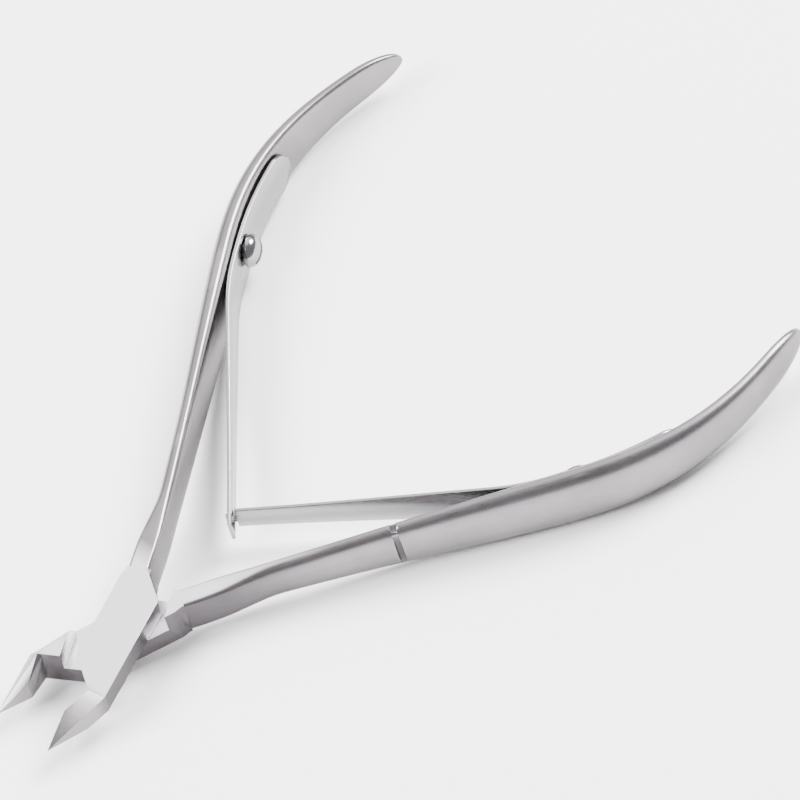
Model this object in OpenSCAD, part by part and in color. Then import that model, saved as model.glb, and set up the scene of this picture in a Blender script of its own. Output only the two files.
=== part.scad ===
// Cuticle nipper with a lap joint and two interlocking leaf springs.
//
// Frame: the origin is on the pivot axis, in the flat back face of the joint. +Z runs through
// the joint to its front face, and +X runs along the bisector of the open handles. The handles
// are at +X and the jaws at -X. The front lever has its handle at +Y and its jaw at -Y.
//
// The two levers have the same form: the rear lever is the front one turned over about the
// X axis through the middle of the joint. Each is drawn in the open rest position.

/* [Joint] */
// Thickness of the closed lap joint, front face to back face
joint_t = 5.4; // [5:0.1:7]
// Angle that each lever turns from rest to closed
half_open = 15; // [12:0.5:15]
// Direction of the long edges of each joint plate
plate_angle = 20; // [16:1:22]
// Gap between the two plates where they lap
lap_gap = 0.04; // [0.02:0.01:0.1]

/* [Handles] */
// Distance from the pivot to the start of the inner face of a handle
root_x = 9; // [8.5:0.1:10]
// Offset of that start from the bisector
root_y = 2.6; // [2.4:0.1:3]
// Length of the inner face, along its curve
handle_len = 90; // [80:1:95]
// Direction of the handle where it leaves the joint
root_heading = 32.5; // [30:0.5:35]
// Angle that the outer half of the handle turns back
tip_turn = 43.5; // [35:0.5:48]
// Thickness of the handle at the palm swell, from its flat inner face to its crown
handle_t = 2.9; // [2.6:0.1:3.6]
// Thickness of the handle where it leaves the joint
root_t = 3.4; // [2.6:0.1:3.6]
// Thickness of the neck between the joint and the swell
neck_t = 2.1; // [1.9:0.1:2.8]
// Thickness near the tip
tip_t = 1.7; // [1.4:0.1:2.4]
// Width of the handle at the palm swell, across the joint's thickness
swell_w = 9.0; // [7:0.1:10]
// Width near the tip
tip_w = 5.6; // [5:0.1:7]

/* [Springs] */
// Thickness of a leaf spring
leaf_t = 0.5; // [0.4:0.05:0.6]
// Width of a leaf where the screw holds it
leaf_root_w = 6.4; // [5.6:0.1:7.8]
// Width of a leaf where the two interlock
leaf_end_w = 3.4; // [3:0.1:4]
// Distance along the handle from its start to the spring screw
screw_s = 53.5; // [50:0.5:55]
// Length of the leaf's tail from the screw towards the handle tip
tail_len = 15; // [12:0.5:16]
// Angle that the front lever's leaf bends away from the handle
front_leaf_turn = 13.5; // [12:0.5:15]
// Angle that the rear lever's leaf bends away from the handle
rear_leaf_turn = 17; // [15:0.5:19]

/* [Screws] */
// Radius of the pivot screw's shank
pivot_r = 1.4; // [1.2:0.05:1.5]
// Radius of the pivot screw's head
pivot_head_r = 2.3; // [2:0.1:2.5]
// Radius of the spring screws' shanks
screw_r = 1.0; // [0.8:0.05:1.2]
// Radius of the spring screws' heads
screw_head_r = 2.2; // [2:0.1:2.5]
// Height of the spring screws' heads
screw_head_h = 1.8; // [1:0.1:2]

/* [Hidden] */

steel = [0.78, 0.78, 0.79];
spring_steel = [0.70, 0.71, 0.73];
screw_steel = [0.62, 0.62, 0.64];
arc_fn = 48;
mid_z = joint_t / 2;

// ---- Curves ---------------------------------------------------------------------------------

function clamp01(t) = min(max(t, 0), 1);
function smooth(t) = let (c = clamp01(t)) c * c * (3 - 2 * c);
function unit(a) = [cos(a), sin(a)];
function left_of(a) = [-sin(a), cos(a)];
function turned(p, a) = [p.x * cos(a) - p.y * sin(a), p.x * sin(a) + p.y * cos(a)];
function flipped(p) = [p.x, -p.y];

// The handle is nearly straight to bend_start, then curves back until bend_end.
root_ease = 1.5;
root_ease_len = 20;
bend_start = 49;
bend_end = 88;
function heading(s) = root_heading + root_ease * smooth(s / root_ease_len)
    - tip_turn * smooth((s - bend_start) / (bend_end - bend_start));

stations = 45;
step = handle_len / stations;
handle_path = [
    for (i = 0, p = [root_x, root_y]; i <= stations;
         p = p + step * unit(heading((i + 0.5) * step)), i = i + 1) p];

// Point on the inner face at the distance s along it.
function on_handle(s) = let (i = min(max(floor(s / step), 0), stations - 1))
    handle_path[i] + (s - i * step) * unit(heading((i + 0.5) * step));

// The root thins into the neck, the neck thickens into the palm swell, the crown thins out over
// the last third, and the end is rounded both ways.
root_run = 13;
tip_round = 7;
blunt_end = 0.12;
tip_thinning = 0.65;
thick_start = 22;
thick_end = 52;
thin_start = 56;
function end_round(s) = let (d = clamp01((s - handle_len + tip_round) / tip_round))
    max(sqrt(1 - d * d), blunt_end);
function thickness(s) =
    (root_t + (neck_t - root_t) * smooth(s / root_run)
     + (handle_t - neck_t) * smooth((s - thick_start) / (thick_end - thick_start))
     - (handle_t - tip_t) * smooth((s - thin_start) / (handle_len - thin_start)))
    * (1 - tip_thinning * (1 - end_round(s)));
swell_s = 56;
root_w = joint_t - 0.06;
function width(s) =
    (root_w + (swell_w - root_w) * smooth(s / swell_s)
     - (swell_w - tip_w) * smooth((s - swell_s) / (handle_len - swell_s))) * end_round(s);

// ---- Handle ---------------------------------------------------------------------------------

// Unit section: x is the share of the thickness, y the share of the width. The inner face is
// flat with eased corners, and the outer side is crowned.
crown_power = 2.6;
crown_steps = 10;
flat_share = 0.8;
side_share = 0.22;
section = concat(
    [[0, flat_share / 2], [0, -flat_share / 2]],
    [for (i = [0 : crown_steps]) let (a = -90 + 180 * i / crown_steps)
        [side_share + (1 - side_share) * pow(abs(cos(a)), 2 / crown_power),
         0.5 * sign(sin(a)) * pow(abs(sin(a)), 2 / crown_power)]]);

function station_points(s) = let (p = on_handle(s), out = left_of(heading(s)))
    [for (q = section)
        [p.x + out.x * q.x * thickness(s), p.y + out.y * q.x * thickness(s),
         mid_z + q.y * width(s)]];

module loft(rings) {
    n = len(rings[0]);
    last = len(rings) - 1;
    polyhedron(
        points = [for (r = rings) each r],
        faces = concat(
            [[for (i = [0 : n - 1]) i]],
            [for (k = [0 : last - 1]) for (i = [0 : n - 1])
                [k * n + i, (k + 1) * n + i, (k + 1) * n + (i + 1) % n, k * n + (i + 1) % n]],
            [[for (i = [n - 1 : -1 : 0]) last * n + i]]));
}

// ---- Joint and jaw --------------------------------------------------------------------------

// Long edges of the plate, as distances from the pivot square to the plate's direction.
plate_inner = 2.7;
plate_outer = -4.0;
function plate_point(along, across) = along * unit(plate_angle) + across * left_of(plate_angle);

// The plate ends a little inside the handle, so that the two join cleanly.
root_inset = 0.3;
handle_end_outer = handle_path[0] + (root_t - root_inset) * left_of(root_heading);
handle_end_inner = handle_path[0] + root_inset * left_of(root_heading);
throat = [-9.4, -4.9];
jaw_back_along = -11;
corner_along = -5.7;
shoulder_along = 4.95;
neck_along = 7.5;
block_along = 1;
jaw_back = plate_point(jaw_back_along, plate_outer);
plate_corner = plate_point(corner_along, plate_inner);
shoulder_tip = plate_point(shoulder_along, plate_outer);
neck_start = plate_point(neck_along, plate_inner);

plate_outline = [
    plate_corner,
    neck_start,
    handle_end_outer,
    handle_path[1] + (thickness(step) - root_inset) * left_of(root_heading),
    handle_path[1] + root_inset * left_of(root_heading),
    handle_end_inner,
    shoulder_tip,
    jaw_back,
    throat];

// Part of the plate that stands beyond the handle's shoulder at full height.
handle_block = [
    plate_point(block_along, plate_inner),
    neck_start,
    handle_end_outer,
    handle_path[1] + (thickness(step) - root_inset) * left_of(root_heading),
    handle_path[1] + root_inset * left_of(root_heading),
    handle_end_inner,
    shoulder_tip];

// The half that laps the other lever's plate is cut away between two shoulders. Each shoulder
// is where the other plate's short edge stands when the nipper is closed.
shoulder_gap = 0.12;
function closed_other(p) = turned(flipped(p), 2 * half_open);
handle_shoulder = [closed_other(shoulder_tip), closed_other(handle_end_inner)];
jaw_shoulder = [closed_other(plate_corner), closed_other(throat)];
function edge_angle(e) = atan2(e[1].y - e[0].y, e[1].x - e[0].x);

// The side of a line that lies to the right of it, and the gap beyond it.
far = 40;
module right_side(edge, gap) {
    translate(edge[0]) rotate(edge_angle(edge))
        translate([-far, -far]) square([2 * far, far + gap]);
}

module lap_strip() {
    intersection() {
        right_side(handle_shoulder, shoulder_gap);
        right_side(jaw_shoulder, shoulder_gap);
    }
}

// The jaws mirror each other. tip_z is the height of both tips and of the outer edges, and
// edge_gap keeps the two cutting edges apart when they meet on the bisector.
edge_gap = 0.02;
tip_r = 18.7;
heel_r = 13.4;
heel_low = 0.9;
heel_high = 3.7;
tip_z = 1.6;
function edge_point(r) = turned([-r, -edge_gap], half_open);
jaw_tip = edge_point(tip_r);
jaw_heel = edge_point(heel_r);
front_cheek = [-12.3, -6.6];
rear_cheek = [-12.3, -6.0];
front_lap_cheek = [-7.6, -5.2];
rear_lap_cheek = [-8.4, -4.6];

// Corners of the jaw's root where it stands beyond the shoulder: on the plate side, a little
// inside the plate, and on the side that laps the other lever.
root_along = -3.4;
root_slope = 1.3;
root_sink = 0.3;
root_mid = [plate_point(root_along, plate_outer), jaw_back, throat, plate_corner];
function root_lap(lap_cheek) =
    [plate_point(root_along, plate_outer + root_slope), lap_cheek, throat, plate_corner];

module hull_of(corners) {
    rest = len(corners) - 1;
    hull() polyhedron(points = corners, faces = [[0, 1, 2], for (i = [3 : rest]) [i, 0, 1]]);
}

// side_y is 1 or -1, plate_z is the face that the lever's own plate is in, lap_z the other one.
module jaw(side_y, plate_z, lap_z, cheek, lap_cheek) {
    function at(p, z) = [p.x, side_y * p.y, z];
    sunk_z = mid_z + root_sink * sign(plate_z - mid_z);
    hull_of([
        at(throat, lap_z), at(throat, plate_z), at(jaw_back, plate_z), at(jaw_back, mid_z),
        at(lap_cheek, lap_z), at(cheek, tip_z),
        at(jaw_heel, heel_low), at(jaw_heel, heel_high), at(jaw_tip, tip_z)]);
    difference() {
        hull_of(concat(
            [for (p = root_mid) at(p, sunk_z)],
            [for (p = root_lap(lap_cheek)) at(p, lap_z)]));
        translate([0, 0, -joint_t]) linear_extrude(3 * joint_t) scale([1, side_y]) lap_strip();
    }
}

// ---- Lever ----------------------------------------------------------------------------------

root_overlap = 0.4;
module lever_body() {
    plate_z = mid_z + lap_gap / 2;
    union() {
        loft([for (i = [0 : stations]) station_points(i == 0 ? -root_overlap : i * step)]);
        translate([0, 0, plate_z]) linear_extrude(joint_t - plate_z) polygon(plate_outline);
        linear_extrude(joint_t) difference() {
            polygon(handle_block);
            lap_strip();
        }
    }
}

screw_at = on_handle(screw_s);
screw_heading = heading(screw_s);
hole_depth = 2.3;
hole_end_gap = 0.1;

// Places children at the spring screw, on the inner face, with +Z pointing off the face.
module at_screw() {
    translate([screw_at.x, screw_at.y, mid_z]) rotate([0, 0, screw_heading])
        rotate([90, 0, 0]) children();
}

module lever() {
    difference() {
        lever_body();
        at_screw() translate([0, 0, -hole_depth])
            cylinder(r = screw_r, h = 2 * hole_depth, $fn = arc_fn);
    }
}

module turned_over() {
    translate([0, 0, joint_t]) rotate([180, 0, 0]) children();
}

blind_end = mid_z + 2;
module front_lever() {
    color(steel) difference() {
        union() {
            lever();
            jaw(1, joint_t, 0, front_cheek, front_lap_cheek);
        }
        translate([0, 0, -1]) cylinder(r = pivot_r, h = 1 + blind_end, $fn = arc_fn);
    }
}

bore_gap = 0.03;
head_gap = 0.1;
pivot_head_h = 1.2;
groove_s = 29;
groove_w = 0.8;
module rear_lever() {
    color(steel) difference() {
        union() {
            turned_over() lever();
            jaw(-1, 0, joint_t, rear_cheek, rear_lap_cheek);
        }
        translate([0, 0, -1]) cylinder(r = pivot_r + bore_gap, h = joint_t, $fn = arc_fn);
        translate([0, 0, -1])
            cylinder(r = pivot_head_r + head_gap, h = pivot_head_h + 1, $fn = arc_fn);
        turned_over() groove();
    }
}

// A narrow line filed across the crown and the sides of the rear handle.
module groove() {
    depth = 0.45;
    at = on_handle(groove_s);
    height = 3 * joint_t;
    translate([at.x, at.y, mid_z]) rotate([0, 0, heading(groove_s)]) difference() {
        translate([-groove_w / 2, 0, -height / 2]) cube([groove_w, 2 * neck_t, height]);
        cube([2 * groove_w, 2 * (thickness(groove_s) - depth), width(groove_s) - 2 * depth],
            center = true);
    }
}

// ---- Screws ---------------------------------------------------------------------------------

slot_w = 0.6;
slot_depth = 0.6;
pivot_slot_angle = -35;
spring_slot_angle = 25;
module pivot_screw() {
    color(screw_steel) difference() {
        union() {
            cylinder(r = pivot_head_r, h = pivot_head_h - lap_gap, $fn = arc_fn);
            cylinder(r = pivot_r, h = blind_end - hole_end_gap, $fn = arc_fn);
        }
        rotate(pivot_slot_angle) cube([3 * pivot_head_r, slot_w, 2 * slot_depth], center = true);
    }
}

// A leaf stands leaf_gap off the handle's face, and a screw's head stands the same off the leaf.
leaf_gap = 0.25;
head_z = leaf_t + 2 * leaf_gap;
dome_r = 3.6;
module spring_screw() {
    difference() {
        union() {
            translate([0, 0, -hole_depth + hole_end_gap])
                cylinder(r = screw_r, h = hole_depth + head_z, $fn = arc_fn);
            translate([0, 0, head_z]) intersection() {
                cylinder(r = screw_head_r, h = screw_head_h, $fn = arc_fn);
                translate([0, 0, screw_head_h - dome_r]) sphere(r = dome_r, $fn = arc_fn);
            }
        }
        translate([0, 0, head_z + screw_head_h]) rotate(spring_slot_angle)
            cube([3 * screw_head_r, slot_w, 2 * slot_depth], center = true);
    }
}

module front_spring_screw() {
    color(screw_steel) at_screw() spring_screw();
}

module rear_spring_screw() {
    color(screw_steel) turned_over() at_screw() spring_screw();
}

// ---- Leaf springs ---------------------------------------------------------------------------

// A leaf's centreline follows the handle to leaf_clamp past the screw, turns over bend_len and
// runs straight to the interlock. The tail is a chord across the hollow of the handle.
leaf_offset = leaf_gap + leaf_t / 2;
leaf_clamp = 1.5;
bend_len = 11;
bend_steps = 16;
bend_step = (leaf_clamp + bend_len) / bend_steps;
leaf_start = screw_at - leaf_offset * left_of(screw_heading);
function leaf_heading(s, turn) = screw_heading + 180 + turn * smooth((s - leaf_clamp) / bend_len);
function bend_path(turn) = [
    for (i = 0, p = leaf_start; i <= bend_steps;
         p = p + bend_step * unit(leaf_heading((i + 0.5) * bend_step, turn)), i = i + 1) p];

tail_curl = 9;
blunt_tail = 0.3;
tail_steps = 8;
tail_path = [
    for (i = [tail_steps : -1 : 1]) let (d = tail_len * i / tail_steps)
        leaf_start + d * unit(screw_heading - tail_curl * i / tail_steps)];

// The straight parts of the two leaves cross at one point. front_run and rear_run are their
// lengths from the end of each bend to it.
function det(a, b) = a.x * b.y - a.y * b.x;
front_bend_end = bend_path(front_leaf_turn)[bend_steps];
rear_bend_end = bend_path(rear_leaf_turn)[bend_steps];
front_end_heading = screw_heading + 180 + front_leaf_turn;
rear_end_heading = screw_heading + 180 + rear_leaf_turn;
front_dir = unit(front_end_heading);
rear_dir = flipped(unit(rear_end_heading));
between = flipped(rear_bend_end) - front_bend_end;
front_run = det(between, rear_dir) / det(front_dir, rear_dir);
rear_run = det(between, front_dir) / det(front_dir, rear_dir);
cross_x = front_bend_end.x + front_run * front_dir.x;

// In-plane outline of a leaf from its tail to run past the end of its bend.
module leaf_ribbon(turn, run) {
    bend = bend_path(turn);
    end = bend[bend_steps] + run * unit(screw_heading + 180 + turn);
    pts = concat(tail_path, bend, [end]);
    n = len(pts);
    dirs = [for (i = [0 : n - 1]) let (a = pts[max(i - 1, 0)], b = pts[min(i + 1, n - 1)])
        atan2(b.y - a.y, b.x - a.x)];
    polygon(concat(
        [for (i = [0 : n - 1]) pts[i] + leaf_t / 2 * left_of(dirs[i])],
        [for (i = [n - 1 : -1 : 0]) pts[i] - leaf_t / 2 * left_of(dirs[i])]));
}

// Side view of a leaf: full width at the screw, narrowing to the interlock, with a round tail.
tail_round = 3;
tail_end = leaf_start.x + tail_len * cos(screw_heading - tail_curl);
function tail_share(x) = let (d = clamp01((x - tail_end + tail_round) / tail_round))
    max(sqrt(1 - d * d), blunt_tail);
function leaf_width(x) = tail_share(x) * (leaf_end_w + (leaf_root_w - leaf_end_w)
    * smooth((x - cross_x) / (leaf_start.x - cross_x)));
module leaf_side() {
    x_step = 2;
    round_steps = 8;
    xs = concat(
        [for (x = [0 : x_step : leaf_start.x]) x],
        [for (i = [0 : round_steps]) tail_end - tail_round * cos(90 * i / round_steps)],
        [tail_end + 1]);
    polygon(concat(
        [for (x = xs) [x, leaf_width(x) / 2]],
        [for (i = [len(xs) - 1 : -1 : 0]) [xs[i], -leaf_width(xs[i]) / 2]]));
}

module leaf(turn, run) {
    intersection() {
        linear_extrude(joint_t + swell_w) leaf_ribbon(turn, run);
        translate([0, far, mid_z]) rotate([90, 0, 0]) linear_extrude(2 * far) leaf_side();
    }
}

module screw_hole() {
    at_screw() cylinder(r = screw_r + leaf_gap, h = head_z, $fn = arc_fn);
}

tongue_w = 1.4;
tongue_len = 0.7;
slot_len = 2.8;
slot_from = -0.9;
slot_room = 0.25;
front_over = 2.2;
main_stop = 0.7;
tongue_root = 1;

// Centred where a leaf reaches the crossing, with +X along the leaf towards its end.
module at_crossing(bend_end, end_heading, run) {
    p = bend_end + run * unit(end_heading);
    translate([p.x, p.y, mid_z]) rotate([0, 0, end_heading]) children();
}

module front_leaf_spring() {
    color(spring_steel) difference() {
        leaf(front_leaf_turn, front_run + front_over);
        screw_hole();
        at_crossing(front_bend_end, front_end_heading, front_run)
            translate([slot_from, -leaf_t, -tongue_w / 2 - slot_room])
                cube([slot_len, 2 * leaf_t, tongue_w + 2 * slot_room]);
    }
}

module rear_leaf_spring() {
    color(spring_steel) turned_over() {
        difference() {
            leaf(rear_leaf_turn, rear_run - main_stop);
            screw_hole();
        }
        at_crossing(rear_bend_end, rear_end_heading, rear_run)
            translate([-main_stop - tongue_root, -leaf_t / 2, -tongue_w / 2])
                cube([tongue_root + main_stop + tongue_len, leaf_t, tongue_w]);
    }
}

front_lever();
rear_lever();
pivot_screw();
front_leaf_spring();
rear_leaf_spring();
front_spring_screw();
rear_spring_screw();
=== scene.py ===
"""Looks of the cuticle nipper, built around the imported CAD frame."""

import math

import bmesh
import bpy
from mathutils import Matrix, Vector


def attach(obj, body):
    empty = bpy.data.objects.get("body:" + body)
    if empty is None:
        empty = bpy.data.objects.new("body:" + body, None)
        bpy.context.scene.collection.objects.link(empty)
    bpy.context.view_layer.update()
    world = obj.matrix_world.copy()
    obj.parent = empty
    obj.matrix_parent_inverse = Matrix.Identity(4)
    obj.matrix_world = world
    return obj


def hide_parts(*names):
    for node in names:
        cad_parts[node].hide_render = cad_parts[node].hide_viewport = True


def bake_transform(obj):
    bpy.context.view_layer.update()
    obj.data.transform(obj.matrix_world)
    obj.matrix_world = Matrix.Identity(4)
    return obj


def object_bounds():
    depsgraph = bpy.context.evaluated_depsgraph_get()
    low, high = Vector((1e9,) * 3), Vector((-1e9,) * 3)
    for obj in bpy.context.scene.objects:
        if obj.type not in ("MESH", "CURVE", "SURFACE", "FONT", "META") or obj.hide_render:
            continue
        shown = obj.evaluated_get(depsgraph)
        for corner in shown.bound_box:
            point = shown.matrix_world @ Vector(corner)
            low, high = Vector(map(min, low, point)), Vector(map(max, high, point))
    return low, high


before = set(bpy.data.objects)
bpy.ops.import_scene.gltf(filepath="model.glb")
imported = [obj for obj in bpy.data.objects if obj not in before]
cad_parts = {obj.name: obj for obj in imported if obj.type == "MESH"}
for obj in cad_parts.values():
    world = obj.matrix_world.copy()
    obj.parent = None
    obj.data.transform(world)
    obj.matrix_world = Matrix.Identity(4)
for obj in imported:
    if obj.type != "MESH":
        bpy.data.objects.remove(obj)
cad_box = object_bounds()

MM = 0.001

# ---- Sizes in millimetres, the same as the CAD's ---------------------------------------------

JOINT_T = 5.4
MID_Z = JOINT_T / 2
ROOT = (9.0, 2.6)
HANDLE_LEN = 90.0
ROOT_HEADING = 32.5
ROOT_EASE, ROOT_EASE_LEN = 1.5, 20.0
TIP_TURN, BEND_START, BEND_END = 43.5, 49.0, 88.0
ROOT_THICK, ROOT_RUN, NECK_T, SWELL_T, TIP_T = 3.4, 13.0, 2.1, 2.9, 1.7
THICK_START, THICK_END, THIN_START = 22.0, 52.0, 56.0
ROOT_W, SWELL_W, TIP_W, SWELL_S = JOINT_T - 0.06, 9.0, 5.6, 56.0
TIP_ROUND, BLUNT_END, TIP_THINNING = 7.0, 0.12, 0.65
GROOVE_S, GROOVE_W, GROOVE_DEPTH = 29.0, 0.8, 0.45

LEAF_T, LEAF_GAP, LEAF_ROOT_W, LEAF_END_W = 0.5, 0.25, 6.4, 3.4
SCREW_S, TAIL_LEN, TAIL_CURL, TAIL_ROUND, BLUNT_TAIL = 53.5, 15.0, 9.0, 3.0, 0.3
LEAF_CLAMP, BEND_LEN = 1.5, 11.0
FRONT_LEAF_TURN, REAR_LEAF_TURN = 13.5, 17.0
TONGUE_W, TONGUE_LEN, MAIN_STOP = 1.4, 0.7, 0.7
SLOT_LEN, SLOT_FROM, SLOT_ROOM, FRONT_OVER = 2.8, -0.9, 0.25, 2.2
BLEND_SHARE = 0.55

SCREW_R, SCREW_HEAD_R, SCREW_HEAD_H = 1.0, 2.2, 1.8
SCREW_SLOT_W, SCREW_SLOT_DEPTH, SCREW_HOLE = 0.6, 0.6, 2.3
PIVOT_R, PIVOT_HEAD_R, PIVOT_HEAD_H, PIVOT_END = 1.4, 2.3, 1.16, MID_Z + 1.9


def smooth(t):
    c = min(max(t, 0.0), 1.0)
    return c * c * (3 - 2 * c)


def unit(a):
    return Vector((math.cos(math.radians(a)), math.sin(math.radians(a))))


def left_of(a):
    return Vector((-math.sin(math.radians(a)), math.cos(math.radians(a))))


# ---- The handle's curve and sections ---------------------------------------------------------

def heading(s):
    return (ROOT_HEADING + ROOT_EASE * smooth(s / ROOT_EASE_LEN)
            - TIP_TURN * smooth((s - BEND_START) / (BEND_END - BEND_START)))


def curve_points(start, heading_at, length, steps):
    """Points along a curve whose heading is given at each distance, in equal steps."""
    step = length / steps
    points = [Vector(start)]
    for i in range(steps):
        points.append(points[-1] + step * unit(heading_at((i + 0.5) * step)))
    return points


CAD_STATIONS = 45
HANDLE_STEP = HANDLE_LEN / CAD_STATIONS
HANDLE_PATH = curve_points(ROOT, heading, HANDLE_LEN, CAD_STATIONS)


def on_handle(s):
    """Point on the inner face at the distance s, on the CAD's own straight steps."""
    i = min(max(int(s // HANDLE_STEP), 0), CAD_STATIONS - 1)
    return HANDLE_PATH[i] + (s - i * HANDLE_STEP) * unit(heading((i + 0.5) * HANDLE_STEP))


def end_round(s):
    d = min(max((s - HANDLE_LEN + TIP_ROUND) / TIP_ROUND, 0.0), 1.0)
    return max(math.sqrt(1 - d * d), BLUNT_END)


def thickness(s):
    body = (ROOT_THICK + (NECK_T - ROOT_THICK) * smooth(s / ROOT_RUN)
            + (SWELL_T - NECK_T) * smooth((s - THICK_START) / (THICK_END - THICK_START))
            - (SWELL_T - TIP_T) * smooth((s - THIN_START) / (HANDLE_LEN - THIN_START)))
    return body * (1 - TIP_THINNING * (1 - end_round(s)))


def width(s):
    body = (ROOT_W + (SWELL_W - ROOT_W) * smooth(s / SWELL_S)
            - (SWELL_W - TIP_W) * smooth((s - SWELL_S) / (HANDLE_LEN - SWELL_S)))
    return body * end_round(s)


CROWN_POWER, ROOT_POWER, CROWN_STEPS = 2.6, 9.0, 40
FLAT_SHARE, SIDE_SHARE, EDGE_STEPS = 0.8, 0.22, 5
ROOT_FLAT, ROOT_SIDE, ROOT_INSET = 0.95, 0.06, 0.3


def mix(a, b, t):
    return a + (b - a) * t


def unit_section(square):
    """Shares of thickness and width round a section: flat inner face, eased corners, crown.
    square goes from 0, the handle's own section, to 1, the joint's square corners."""
    flat, side_x = mix(FLAT_SHARE, ROOT_FLAT, square) / 2, mix(SIDE_SHARE, ROOT_SIDE, square)
    power = 2 / mix(CROWN_POWER, ROOT_POWER, square)
    flat_steps = 6
    points = [(0.0, flat * (1 - 2 * i / flat_steps)) for i in range(flat_steps + 1)]
    corner = ((0.0, -flat), (side_x * 0.15, -0.5 + 0.3 * (0.5 - flat)), (side_x, -0.5))
    eased = []
    for i in range(1, EDGE_STEPS):
        t = i / EDGE_STEPS
        weights = ((1 - t) ** 2, 2 * t * (1 - t), t * t)
        eased.append(tuple(sum(w * q[k] for w, q in zip(weights, corner)) for k in (0, 1)))
    points += eased
    for i in range(CROWN_STEPS + 1):
        a = math.radians(-90 + 180 * i / CROWN_STEPS)
        c, h = abs(math.cos(a)) ** power, abs(math.sin(a)) ** power
        points.append((side_x + (1 - side_x) * c, 0.5 * math.copysign(h, math.sin(a))))
    points += [(x, -y) for x, y in reversed(eased)]
    return points


SECTION_COUNT = len(unit_section(0))
SQUARE_LEN, FLUSH_LEN = 13.0, 7.0


def handle_ring(s, groove=0.0):
    """Points of the section at s. groove is the depth of a line filed round the crown."""
    p, out = on_handle(s), left_of(heading(s))
    inset = ROOT_INSET * (1 - smooth(s / FLUSH_LEN))
    t = thickness(s) - 2 * inset
    w = width(s)
    ring = []
    for x, y in unit_section(1 - smooth(s / SQUARE_LEN)):
        depth = inset + min(x * t, t - groove)
        half = min(max(y * w, -w / 2 + groove), w / 2 - groove) if x > 0 else y * w
        ring.append(Vector((p.x + out.x * depth, p.y + out.y * depth, MID_Z + half)))
    return ring


def handle_stations(grooved):
    """Distances of the rings, closer together at the tip, with the sharp sides of the groove."""
    plain = 150
    end = HANDLE_LEN - TIP_ROUND
    stations = [(HANDLE_FROM + (end - HANDLE_FROM) * i / plain, 0.0) for i in range(plain + 1)]
    tip_rings = 20
    for i in range(1, tip_rings + 1):
        stations.append((end + TIP_ROUND * math.sin(math.radians(90 * i / tip_rings)), 0.0))
    if grooved:
        a, b, lip = GROOVE_S - GROOVE_W / 2, GROOVE_S + GROOVE_W / 2, 0.06
        stations = [q for q in stations if not a - 2 * lip < q[0] < b + 2 * lip]
        stations += [(a - lip, 0.0), (a, 0.4 * GROOVE_DEPTH), (a + lip, GROOVE_DEPTH),
                     (b - lip, GROOVE_DEPTH), (b, 0.4 * GROOVE_DEPTH), (b + lip, 0.0)]
        stations.sort()
    return stations


# ---- Mesh helpers ----------------------------------------------------------------------------

def turned_over(v):
    """The rear lever's place of a point of the front lever."""
    return Vector((v.x, -v.y, JOINT_T - v.z))


def over_matrix():
    """The same turn as a matrix in metres."""
    return Matrix.Translation(Vector((0, 0, JOINT_T)) * MM) @ Matrix.Rotation(math.pi, 4, "X")


def new_object(name, verts, faces):
    """A mesh object from points in millimetres."""
    mesh = bpy.data.meshes.new(name)
    mesh.from_pydata([v * MM for v in verts], [], faces)
    mesh.validate()
    obj = bpy.data.objects.new(name, mesh)
    bpy.context.scene.collection.objects.link(obj)
    fix_normals(mesh)
    return obj


def fix_normals(mesh):
    bm = bmesh.new()
    bm.from_mesh(mesh)
    bmesh.ops.recalc_face_normals(bm, faces=bm.faces)
    bm.to_mesh(mesh)
    bm.free()


def loft_faces(rings, count):
    faces = [list(range(count))[::-1]]
    for k in range(rings - 1):
        for i in range(count):
            j = (i + 1) % count
            faces.append([k * count + i, k * count + j, (k + 1) * count + j, (k + 1) * count + i])
    faces.append([(rings - 1) * count + i for i in range(count)])
    return faces


def apply_modifiers(obj):
    graph = bpy.context.evaluated_depsgraph_get()
    mesh = bpy.data.meshes.new_from_object(obj.evaluated_get(graph))
    obj.modifiers.clear()
    old = obj.data
    obj.data = mesh
    bpy.data.meshes.remove(old)
    return obj


def boolean(obj, other, operation):
    modifier = obj.modifiers.new("cut", "BOOLEAN")
    modifier.operation, modifier.object, modifier.solver = operation, other, "EXACT"
    apply_modifiers(obj)
    bpy.data.objects.remove(other)
    return obj


def rounded(obj, radius, angle=30, segments=2):
    """Rounds the sharp edges by radius, in millimetres, and shades the rest smooth."""
    modifier = obj.modifiers.new("edges", "BEVEL")
    modifier.width, modifier.segments = radius * MM, segments
    modifier.limit_method, modifier.angle_limit = "ANGLE", math.radians(angle)
    modifier.harden_normals = False
    modifier.miter_outer = "MITER_ARC"
    apply_modifiers(obj)
    smooth_shade(obj, angle)
    return obj


def smooth_shade(obj, angle=30):
    obj.data.shade_smooth()
    obj.data.set_sharp_from_angle(angle=math.radians(angle))


# ---- Levers ----------------------------------------------------------------------------------

HANDLE_FROM = -0.3
JOINT_TO = 0.3


def smooth_handle(name, rear):
    stations = handle_stations(grooved=rear)
    verts = [v for s, g in stations for v in handle_ring(s, g)]
    if rear:
        verts = [turned_over(v) for v in verts]
    return new_object(name, verts, loft_faces(len(stations), SECTION_COUNT))


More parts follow.
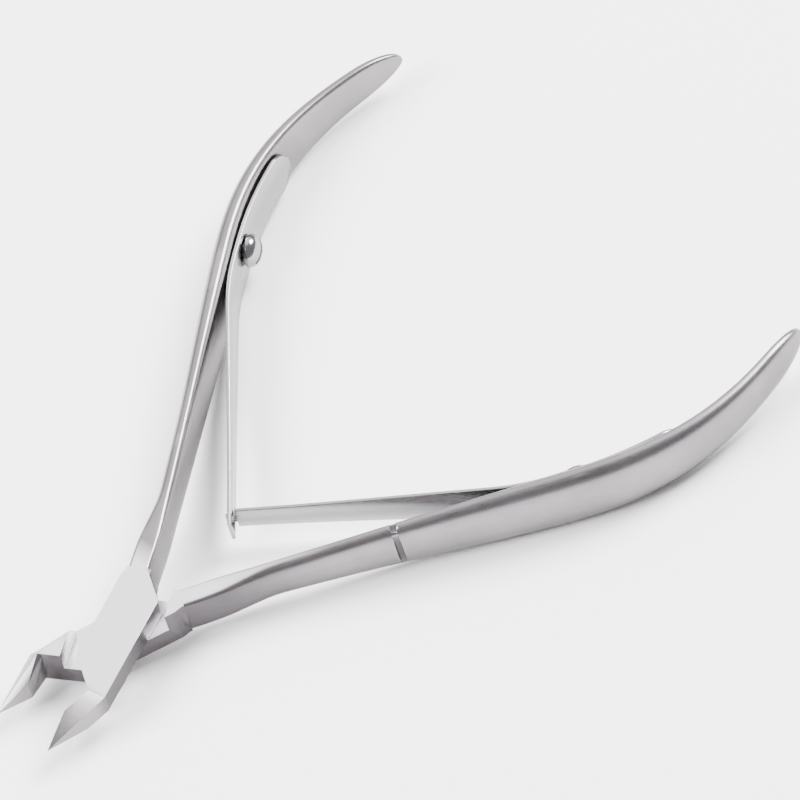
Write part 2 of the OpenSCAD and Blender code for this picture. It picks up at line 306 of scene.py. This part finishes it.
def joint_of(node, rear):
    """The CAD lever's joint and jaw, cut off just past the root of its handle and left open."""
    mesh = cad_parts[node].data.copy()
    obj = bpy.data.objects.new(node + "_joint", mesh)
    bpy.context.scene.collection.objects.link(obj)
    bm = bmesh.new()
    bm.from_mesh(mesh)
    bmesh.ops.remove_doubles(bm, verts=bm.verts, dist=1e-7)
    p, d = on_handle(JOINT_TO), unit(ROOT_HEADING)
    point, normal = Vector((p.x, p.y, 0)), Vector((d.x, d.y, 0))
    if rear:
        point.y, normal.y = -point.y, -normal.y
    bmesh.ops.bisect_plane(bm, geom=bm.verts[:] + bm.edges[:] + bm.faces[:],
                           plane_co=point * MM, plane_no=normal, clear_outer=True)
    flat = math.radians(1.0)
    bmesh.ops.dissolve_limit(bm, angle_limit=flat, verts=bm.verts[:], edges=bm.edges[:])
    bmesh.ops.recalc_face_normals(bm, faces=bm.faces)
    bm.to_mesh(mesh)
    bm.free()
    return obj


def close_cut(obj):
    """Fills the open end. Filled after the edges are rounded, it stays sharp and flush."""
    bm = bmesh.new()
    bm.from_mesh(obj.data)
    bmesh.ops.holes_fill(bm, edges=[e for e in bm.edges if e.is_boundary], sides=0)
    bmesh.ops.recalc_face_normals(bm, faces=bm.faces)
    bm.to_mesh(obj.data)
    bm.free()


def lever(node, rear):
    joint = joint_of(node, rear)
    joint.name = node + "_joint_and_jaw"
    rounded(joint, 0.1, angle=20)
    close_cut(joint)
    smooth_shade(joint, 20)
    handle = smooth_handle(node + "_handle", rear)
    smooth_shade(handle, 50)
    for piece in (joint, handle):
        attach(piece, node)
    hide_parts(node)
    return joint, handle


# ---- Leaf springs ----------------------------------------------------------------------------

SCREW_AT = on_handle(SCREW_S)
SCREW_HEADING = heading(SCREW_S)
LEAF_START = SCREW_AT - (LEAF_GAP + LEAF_T / 2) * left_of(SCREW_HEADING)


def leaf_heading(s, turn):
    return SCREW_HEADING + 180 + turn * smooth((s - LEAF_CLAMP) / BEND_LEN)


def bend_end(turn):
    return curve_points(LEAF_START, lambda s: leaf_heading(s, turn), LEAF_CLAMP + BEND_LEN, 48)


def crossing():
    """Lengths of the straight parts of the two leaves up to the point where they cross."""
    front, rear = bend_end(FRONT_LEAF_TURN)[-1], bend_end(REAR_LEAF_TURN)[-1]
    u = unit(SCREW_HEADING + 180 + FRONT_LEAF_TURN)
    v = unit(SCREW_HEADING + 180 + REAR_LEAF_TURN)
    v.y, rear.y = -v.y, -rear.y
    between = rear - front
    turn = u.x * v.y - u.y * v.x
    return ((between.x * v.y - between.y * v.x) / turn,
            (between.x * u.y - between.y * u.x) / turn)


FRONT_RUN, REAR_RUN = crossing()
CROSS_X = (bend_end(FRONT_LEAF_TURN)[-1]
           + FRONT_RUN * unit(SCREW_HEADING + 180 + FRONT_LEAF_TURN)).x


TAIL_END = LEAF_START.x + TAIL_LEN * math.cos(math.radians(SCREW_HEADING - TAIL_CURL))


def leaf_width(x):
    d = min(max((x - TAIL_END + TAIL_ROUND) / TAIL_ROUND, 0.0), 1.0)
    share = smooth((x - CROSS_X) / (LEAF_START.x - CROSS_X))
    return max(math.sqrt(1 - d * d), BLUNT_TAIL) * mix(LEAF_END_W, LEAF_ROOT_W, share)


def leaf_line(turn, run):
    """Centreline from the tail to the end, with the heading at each point."""
    tail_steps = 40
    line = []
    for i in range(tail_steps, 0, -1):
        share = math.sin(math.pi / 2 * i / tail_steps)
        line.append(LEAF_START + TAIL_LEN * share * unit(SCREW_HEADING - TAIL_CURL * share))
    bend = bend_end(turn)
    line += bend
    straight_steps = 24
    for i in range(1, straight_steps + 1):
        line.append(bend[-1] + run * i / straight_steps * unit(SCREW_HEADING + 180 + turn))
    return line


LEAF_SECTION = 12


def leaf_ring(p, side, w, t):
    """Rounded rectangle across the leaf: t thick along side, w wide along Z."""
    r = min(0.16, t * 0.4)
    ring = []
    for cx, cz, start in ((t / 2 - r, w / 2 - r, 0), (-t / 2 + r, w / 2 - r, 90),
                          (-t / 2 + r, -w / 2 + r, 180), (t / 2 - r, -w / 2 + r, 270)):
        for k in range(3):
            a = math.radians(start + 45 * k)
            x, z = cx + r * math.cos(a), cz + r * math.sin(a)
            ring.append(Vector((p.x + side.x * x, p.y + side.y * x, MID_Z + z)))
    return ring


def leaf_spring(name, turn, run, rear):
    line = leaf_line(turn, run)
    last = len(line) - 1
    verts = []
    for i, p in enumerate(line):
        d = line[min(i + 1, last)] - line[max(i - 1, 0)]
        side = Vector((-d.y, d.x)).normalized()
        verts += leaf_ring(p, side, leaf_width(p.x), LEAF_T)
    return new_object(name, [turned_over(v) for v in verts] if rear else verts,
                      loft_faces(len(line), LEAF_SECTION))


def leaf_place(turn, run, along, rear):
    """Matrix that puts +X along a leaf and +Y across its thickness, along past its run."""
    a = SCREW_HEADING + 180 + turn
    p = bend_end(turn)[-1] + (run + along) * unit(a)
    m = (Matrix.Translation(Vector((p.x, p.y, MID_Z)) * MM)
         @ Matrix.Rotation(math.radians(a), 4, "Z"))
    return over_matrix() @ m if rear else m


def block(name, lo, hi, place):
    """A box between two corners in millimetres, moved by a matrix."""
    corners = [Vector((x, y, z))
               for x in (lo[0], hi[0]) for y in (lo[1], hi[1]) for z in (lo[2], hi[2])]
    faces = [(0, 1, 3, 2), (4, 6, 7, 5), (0, 4, 5, 1), (2, 3, 7, 6), (0, 2, 6, 4), (1, 5, 7, 3)]
    obj = new_object(name, corners, faces)
    obj.data.transform(place)
    return obj


def screw_place(rear):
    """Matrix that puts +Z off the inner face at the spring screw."""
    a = math.radians(SCREW_HEADING)
    m = (Matrix.Translation(Vector((SCREW_AT.x, SCREW_AT.y, MID_Z)) * MM)
         @ Matrix.Rotation(a, 4, "Z") @ Matrix.Rotation(math.pi / 2, 4, "X"))
    return over_matrix() @ m if rear else m


def leaf_pair():
    front = leaf_spring("front_leaf", FRONT_LEAF_TURN, FRONT_RUN + FRONT_OVER, rear=False)
    half = TONGUE_W / 2 + SLOT_ROOM
    slot = block("slot", (SLOT_FROM, -1, -half), (SLOT_FROM + SLOT_LEN, 1, half),
                 leaf_place(FRONT_LEAF_TURN, FRONT_RUN, 0, rear=False))
    boolean(front, slot, "DIFFERENCE")
    rear = leaf_spring("rear_leaf", REAR_LEAF_TURN, REAR_RUN - MAIN_STOP, rear=True)
    tongue_root = 0.6
    tongue = block("tongue", (-MAIN_STOP - tongue_root, -LEAF_T / 2, -TONGUE_W / 2),
                   (TONGUE_LEN, LEAF_T / 2, TONGUE_W / 2),
                   leaf_place(REAR_LEAF_TURN, REAR_RUN, 0, rear=True))
    rounded(tongue, 0.12)
    boolean(rear, tongue, "UNION")
    for obj, node, lever_body, leaf_body, turn, run in (
            (front, "front_leaf_spring", "front_lever", "front_leaf", FRONT_LEAF_TURN, FRONT_RUN),
            (rear, "rear_leaf_spring", "rear_lever", "rear_leaf", REAR_LEAF_TURN, REAR_RUN)):
        is_rear = obj is rear
        hole = lathe("hole", [(0, -1), (SCREW_R + LEAF_GAP, -1), (SCREW_R + LEAF_GAP, 3), (0, 3)])
        hole.data.transform(screw_place(is_rear))
        boolean(obj, hole, "DIFFERENCE")
        smooth_shade(obj, 35)
        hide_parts(node)
        end = bend_end(turn)[-1] + BLEND_SHARE * run * unit(SCREW_HEADING + 180 + turn)
        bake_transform(obj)
    return front, rear


# ---- Screws ----------------------------------------------------------------------------------

ROUND = 72


def lathe(name, profile):
    """A solid turned about Z from (radius, height) points in millimetres.
    The first and last points are on the axis."""
    verts = [Vector((0, 0, profile[0][1])), Vector((0, 0, profile[-1][1]))]
    rings = profile[1:-1]
    for r, z in rings:
        verts += [Vector((r * math.cos(math.tau * k / ROUND),
                          r * math.sin(math.tau * k / ROUND), z)) for k in range(ROUND)]
    faces = []
    for k in range(ROUND):
        j = (k + 1) % ROUND
        faces.append((0, 2 + j, 2 + k))
        for i in range(len(rings) - 1):
            a, b = 2 + i * ROUND, 2 + (i + 1) * ROUND
            faces.append((a + k, a + j, b + j, b + k))
        top = 2 + (len(rings) - 1) * ROUND
        faces.append((top + k, top + j, 1))
    return new_object(name, verts, faces)


def screw_slot(obj, z, depth, angle):
    turn = Matrix.Rotation(math.radians(angle), 4, "Z")
    half = SCREW_SLOT_W / 2
    cutter = block("slot_cut", (-6, -half, z - depth), (6, half, z + depth), turn)
    boolean(obj, cutter, "DIFFERENCE")
    return rounded(obj, 0.05, angle=35)


def spring_screw(node, rear, angle):
    head_z = LEAF_T + 2 * LEAF_GAP
    rim, end_chamfer, head_chamfer = 0.35, 0.1, 0.12
    top, end = head_z + SCREW_HEAD_H, -SCREW_HOLE + 0.1
    profile = [(0, end), (SCREW_R - end_chamfer, end), (SCREW_R, end + end_chamfer),
               (SCREW_R, head_z), (SCREW_HEAD_R - head_chamfer, head_z),
               (SCREW_HEAD_R, head_z + head_chamfer), (SCREW_HEAD_R, head_z + rim)]
    dome = 16
    for i in range(1, dome):
        a = math.radians(90 * i / dome)
        profile.append((SCREW_HEAD_R * math.cos(a),
                        head_z + rim + (SCREW_HEAD_H - rim) * math.sin(a)))
    profile.append((0, top))
    obj = lathe(node + "_turned", profile)
    screw_slot(obj, top, SCREW_SLOT_DEPTH, angle)
    obj.data.transform(screw_place(rear))
    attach(obj, "rear_lever" if rear else "front_lever")
    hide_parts(node)
    return obj


def pivot_screw():
    profile = [(0, PIVOT_END), (PIVOT_R - 0.15, PIVOT_END), (PIVOT_R, PIVOT_END - 0.15),
               (PIVOT_R, PIVOT_HEAD_H), (PIVOT_HEAD_R, PIVOT_HEAD_H), (PIVOT_HEAD_R, 0.14),
               (PIVOT_HEAD_R - 0.04, 0.05), (PIVOT_HEAD_R - 0.14, 0), (0, 0)]
    obj = lathe("pivot_screw_turned", profile)
    screw_slot(obj, 0, SCREW_SLOT_DEPTH, -35)
    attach(obj, "front_lever")
    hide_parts("pivot_screw")
    return obj


# ---- Materials -------------------------------------------------------------------------------

def node(tree, kind, **inputs):
    """A shader node with its settings and its unlinked inputs."""
    made = tree.nodes.new(kind)
    for key, value in inputs.items():
        if key in made.inputs:
            made.inputs[key].default_value = value
        else:
            setattr(made, key, value)
    return made


def ramp(tree, source, low, high, at_low, at_high):
    """Maps low..high to at_low..at_high and holds the ends."""
    made = tree.nodes.new("ShaderNodeMapRange")
    made.inputs["From Min"].default_value, made.inputs["From Max"].default_value = low, high
    made.inputs["To Min"].default_value, made.inputs["To Max"].default_value = at_low, at_high
    tree.links.new(source, made.inputs["Value"])
    return made.outputs["Result"]


def steel(name, base, worn, rough_low, rough_high, grain_angle, grain, bump):
    """Ground steel. Its grain runs at grain_angle in the XY plane and is fine across it."""
    material = bpy.data.materials.new(name)
    material.use_nodes = True
    tree = material.node_tree
    shader = tree.nodes["Principled BSDF"]
    shader.inputs["Metallic"].default_value = 1.0
    place = node(tree, "ShaderNodeTexCoord").outputs["Object"]
    turn = node(tree, "ShaderNodeMapping", Rotation=(0, 0, -math.radians(grain_angle)))
    tree.links.new(place, turn.inputs["Vector"])
    stretch = node(tree, "ShaderNodeMapping", Scale=(grain * 0.04, grain, grain))
    tree.links.new(turn.outputs["Vector"], stretch.inputs["Vector"])
    fine = node(tree, "ShaderNodeTexNoise", Scale=1.0, Detail=4.0, Roughness=0.65)
    tree.links.new(stretch.outputs["Vector"], fine.inputs["Vector"])
    cloud = node(tree, "ShaderNodeTexNoise", Scale=130.0, Detail=3.0, Roughness=0.55)
    tree.links.new(place, cloud.inputs["Vector"])
    rare = node(tree, "ShaderNodeMapping", Scale=(grain * 0.02, grain * 0.35, grain * 0.35),
                Rotation=(0, 0, math.radians(4)))
    tree.links.new(turn.outputs["Vector"], rare.inputs["Vector"])
    scratch = node(tree, "ShaderNodeTexNoise", Scale=1.0, Detail=1.0)
    tree.links.new(rare.outputs["Vector"], scratch.inputs["Vector"])
    marks = ramp(tree, scratch.outputs["Fac"], 0.66, 0.74, 0.0, 1.0)

    tone = node(tree, "ShaderNodeMix", data_type="RGBA")
    tone.inputs["A"].default_value, tone.inputs["B"].default_value = (*base, 1), (*worn, 1)
    point = node(tree, "ShaderNodeNewGeometry").outputs["Pointiness"]
    edge = ramp(tree, point, 0.52, 0.6, 0.0, 0.7)
    patch = ramp(tree, cloud.outputs["Fac"], 0.35, 0.7, 0.0, 0.35)
    mixed = node(tree, "ShaderNodeMath", operation="MAXIMUM")
    tree.links.new(edge, mixed.inputs[0])
    tree.links.new(patch, mixed.inputs[1])
    tree.links.new(mixed.outputs[0], tone.inputs["Factor"])
    tree.links.new(tone.outputs["Result"], shader.inputs["Base Color"])

    grainy = ramp(tree, fine.outputs["Fac"], 0.3, 0.7, rough_low, rough_high)
    rough = node(tree, "ShaderNodeMath", operation="MULTIPLY_ADD")
    tree.links.new(marks, rough.inputs[0])
    rough.inputs[1].default_value = 0.12
    tree.links.new(grainy, rough.inputs[2])
    tree.links.new(rough.outputs[0], shader.inputs["Roughness"])

    height = node(tree, "ShaderNodeMath", operation="MULTIPLY_ADD")
    tree.links.new(marks, height.inputs[0])
    height.inputs[1].default_value = -0.6
    tree.links.new(fine.outputs["Fac"], height.inputs[2])
    relief = node(tree, "ShaderNodeBump", Strength=bump, Distance=0.00002)
    tree.links.new(height.outputs[0], relief.inputs["Height"])
    tree.links.new(relief.outputs["Normal"], shader.inputs["Normal"])
    return material


POLISH_FROM = (-10.5, -8.5)
WALL_SHADE = 0.75


def multiply(tree, first, second):
    made = node(tree, "ShaderNodeMath", operation="MULTIPLY")
    for k, value in enumerate((first, second)):
        if isinstance(value, (int, float)):
            made.inputs[k].default_value = value
        else:
            tree.links.new(value, made.inputs[k])
    return made.outputs[0]


def lever_steel(name, grain_angle, polish_to):
    """Satin steel whose joint is ground bright on its two flat faces, with painted shade on the
    joint's side walls and in its hollows.
    """
    material = steel(name, SATIN, WORN, 0.26, 0.38, grain_angle, 9000, 0.22)
    tree = material.node_tree
    shader = tree.nodes["Principled BSDF"]
    coords = node(tree, "ShaderNodeTexCoord")
    place, facing = node(tree, "ShaderNodeSeparateXYZ"), node(tree, "ShaderNodeSeparateXYZ")
    tree.links.new(coords.outputs["Object"], place.inputs[0])
    tree.links.new(coords.outputs["Normal"], facing.inputs[0])
    jaw_side = ramp(tree, place.outputs["X"], POLISH_FROM[0] * MM, POLISH_FROM[1] * MM, 0.0, 1.0)
    handle_side = ramp(tree, place.outputs["X"], polish_to[0] * MM, polish_to[1] * MM, 1.0, 0.0)
    squared = multiply(tree, facing.outputs["Z"], facing.outputs["Z"])
    flat = ramp(tree, squared, 0.8, 0.97, 0.0, 1.0)
    at_joint = multiply(tree, jaw_side, handle_side)
    polish = multiply(tree, at_joint, flat)
    plain = shader.inputs["Base Color"].links[0].from_socket
    # Painted shade: the joint's side walls, whose normals lie near the XY plane, are darkened
    # towards the dark shade colour.
    wall = multiply(tree, at_joint, ramp(tree, squared, 0.1, 0.5, WALL_SHADE, 0.0))
    shaded = node(tree, "ShaderNodeMix", data_type="RGBA")
    shaded.inputs["B"].default_value = (*PAINTED_SHADE, 1)
    tree.links.new(wall, shaded.inputs["Factor"])
    tree.links.new(plain, shaded.inputs["A"])
    satin = shaded.outputs["Result"]
    bright = node(tree, "ShaderNodeMix", data_type="RGBA")
    bright.inputs["B"].default_value = (*BRIGHT, 1)
    tree.links.new(polish, bright.inputs["Factor"])
    tree.links.new(satin, bright.inputs["A"])
    # Painted shade: hollows and creases, found by low pointiness, are darkened towards the dark
    # shade colour.
    hollow = ramp(tree, node(tree, "ShaderNodeNewGeometry").outputs["Pointiness"],
                  0.40, 0.485, 1.0, 0.0)
    hollow_shaded = node(tree, "ShaderNodeMix", data_type="RGBA")
    hollow_shaded.inputs["B"].default_value = (*PAINTED_SHADE, 1)
    tree.links.new(hollow, hollow_shaded.inputs["Factor"])
    tree.links.new(bright.outputs["Result"], hollow_shaded.inputs["A"])
    tree.links.new(hollow_shaded.outputs["Result"], shader.inputs["Base Color"])
    rough = shader.inputs["Roughness"].links[0].from_socket
    smoother = ramp(tree, polish, 0.0, 1.0, 1.0, 0.6)
    tree.links.new(multiply(tree, rough, smoother), shader.inputs["Roughness"])
    return material


def paint(obj, material):
    obj.data.materials.clear()
    obj.data.materials.append(material)


# ---- Studio ----------------------------------------------------------------------------------

FLOOR_Z, FLOOR_HALF = cad_box[0].z, 4000
PICTURE_W = 0.1029
ROLL, LIFT, SWING = 20.0, 39.4, 28.5
LENS = 1000.0
SENSOR = 36.0
ACROSS, ABOVE = 0.3516 * PICTURE_W, 0.2958 * PICTURE_W


def camera():
    """A long lens that looks down at the front face, turned about its own axis by ROLL."""
    psi, theta, beta = (math.radians(a) for a in (ROLL, LIFT, SWING))
    flat = Vector((math.cos(beta), -math.sin(beta), 0))
    away = Vector((math.sin(beta), math.cos(beta), 0))
    rise = away * math.cos(theta) + Vector((0, 0, math.sin(theta)))
    back = -away * math.sin(theta) + Vector((0, 0, math.cos(theta)))
    right = math.cos(psi) * flat - math.sin(psi) * rise
    up = math.sin(psi) * flat + math.cos(psi) * rise
    target = Vector((0, 0, MID_Z * MM)) + ACROSS * right + ABOVE * up
    data = bpy.data.cameras.new("camera")
    data.lens, data.sensor_width = LENS, SENSOR
    distance = PICTURE_W * LENS / SENSOR
    data.clip_start, data.clip_end = 0.1, 20
    obj = bpy.data.objects.new("camera", data)
    bpy.context.scene.collection.objects.link(obj)
    obj.matrix_world = Matrix.Translation(target + distance * back) @ Matrix(
        (right, up, back)).transposed().to_4x4()
    bpy.context.scene.camera = obj


def area_light(name, place, aim, size, power):
    data = bpy.data.lights.new(name, "AREA")
    data.shape, data.size, data.energy = "DISK", size, power
    obj = bpy.data.objects.new(name, data)
    bpy.context.scene.collection.objects.link(obj)
    obj.location = place
    obj.rotation_euler = (Vector(aim) - Vector(place)).to_track_quat("-Z", "Y").to_euler()


AIM = (0.03, 0, 0)
SOFTBOX_WAY = (0.30, 0.56, 0.77)
SKY_LOW, SKY_HIGH = 0.5, 3.4
KEY_POWER, FILL_POWER = 48.0, 44.0


def studio():
    corners = [Vector((x * FLOOR_HALF, y * FLOOR_HALF, 0))
               for x, y in ((-1, -1), (1, -1), (1, 1), (-1, 1))]
    floor = new_object("floor", corners, [(0, 1, 2, 3)])
    floor.location.z = FLOOR_Z
    material = bpy.data.materials.new("pale_floor")
    material.use_nodes = True
    shader = material.node_tree.nodes["Principled BSDF"]
    shader.inputs["Base Color"].default_value = (0.95, 0.945, 0.945, 1)
    shader.inputs["Roughness"].default_value = 0.9
    paint(floor, material)

    world = bpy.data.worlds.new("studio")
    world.use_nodes = True
    tree = world.node_tree
    back = tree.nodes["Background"]
    aim = node(tree, "ShaderNodeVectorMath", operation="DOT_PRODUCT")
    tree.links.new(node(tree, "ShaderNodeTexCoord").outputs["Generated"], aim.inputs[0])
    aim.inputs[1].default_value = SOFTBOX_WAY
    level = ramp(tree, aim.outputs["Value"], 0.72, 0.97, SKY_LOW, SKY_HIGH)
    tree.links.new(level, back.inputs["Strength"])
    back.inputs["Color"].default_value = (1.0, 0.985, 0.99, 1)
    bpy.context.scene.world = world
    area_light("key", (0.85, -0.1, 0.75), AIM, 0.6, KEY_POWER)
    area_light("fill", (-0.75, 0.4, 0.8), AIM, 0.8, FILL_POWER)


# ---- The object ------------------------------------------------------------------------------

camera()
front_joint, front_handle = lever("front_lever", rear=False)
rear_joint, rear_handle = lever("rear_lever", rear=True)
front_leaf, rear_leaf = leaf_pair()
front_screw = spring_screw("front_spring_screw", rear=False, angle=25)
rear_screw = spring_screw("rear_spring_screw", rear=True, angle=25)
pivot = pivot_screw()

SATIN, WORN = (0.20, 0.187, 0.197), (0.31, 0.295, 0.307)
# The dark colour on the next line is painted shade, put on the joint's side walls and in its
# hollows.
BRIGHT, PAINTED_SHADE = (0.74, 0.73, 0.75), (0.03, 0.026, 0.03)
SPRING, TURNED = (0.30, 0.30, 0.305), (0.30, 0.30, 0.31)
for handle, joint, side, angle, polish_to in (
        (front_handle, front_joint, "front", ROOT_HEADING, (9.0, 12.0)),
        (rear_handle, rear_joint, "rear", -ROOT_HEADING, (12.0, 26.0))):
    metal = lever_steel(side + "_lever_steel", angle, polish_to)
    paint(handle, metal)
    paint(joint, metal)
for leaf, side, angle in ((front_leaf, "front", 46), (rear_leaf, "rear", -50)):
    paint(leaf, steel(side + "_leaf_steel", SPRING, WORN, 0.2, 0.3, angle, 7000, 0.1))
screw_metal = steel("screw_steel_turned", TURNED, WORN, 0.12, 0.2, 0, 5000, 0.08)
for screw in (front_screw, rear_screw, pivot):
    paint(screw, screw_metal)
studio()
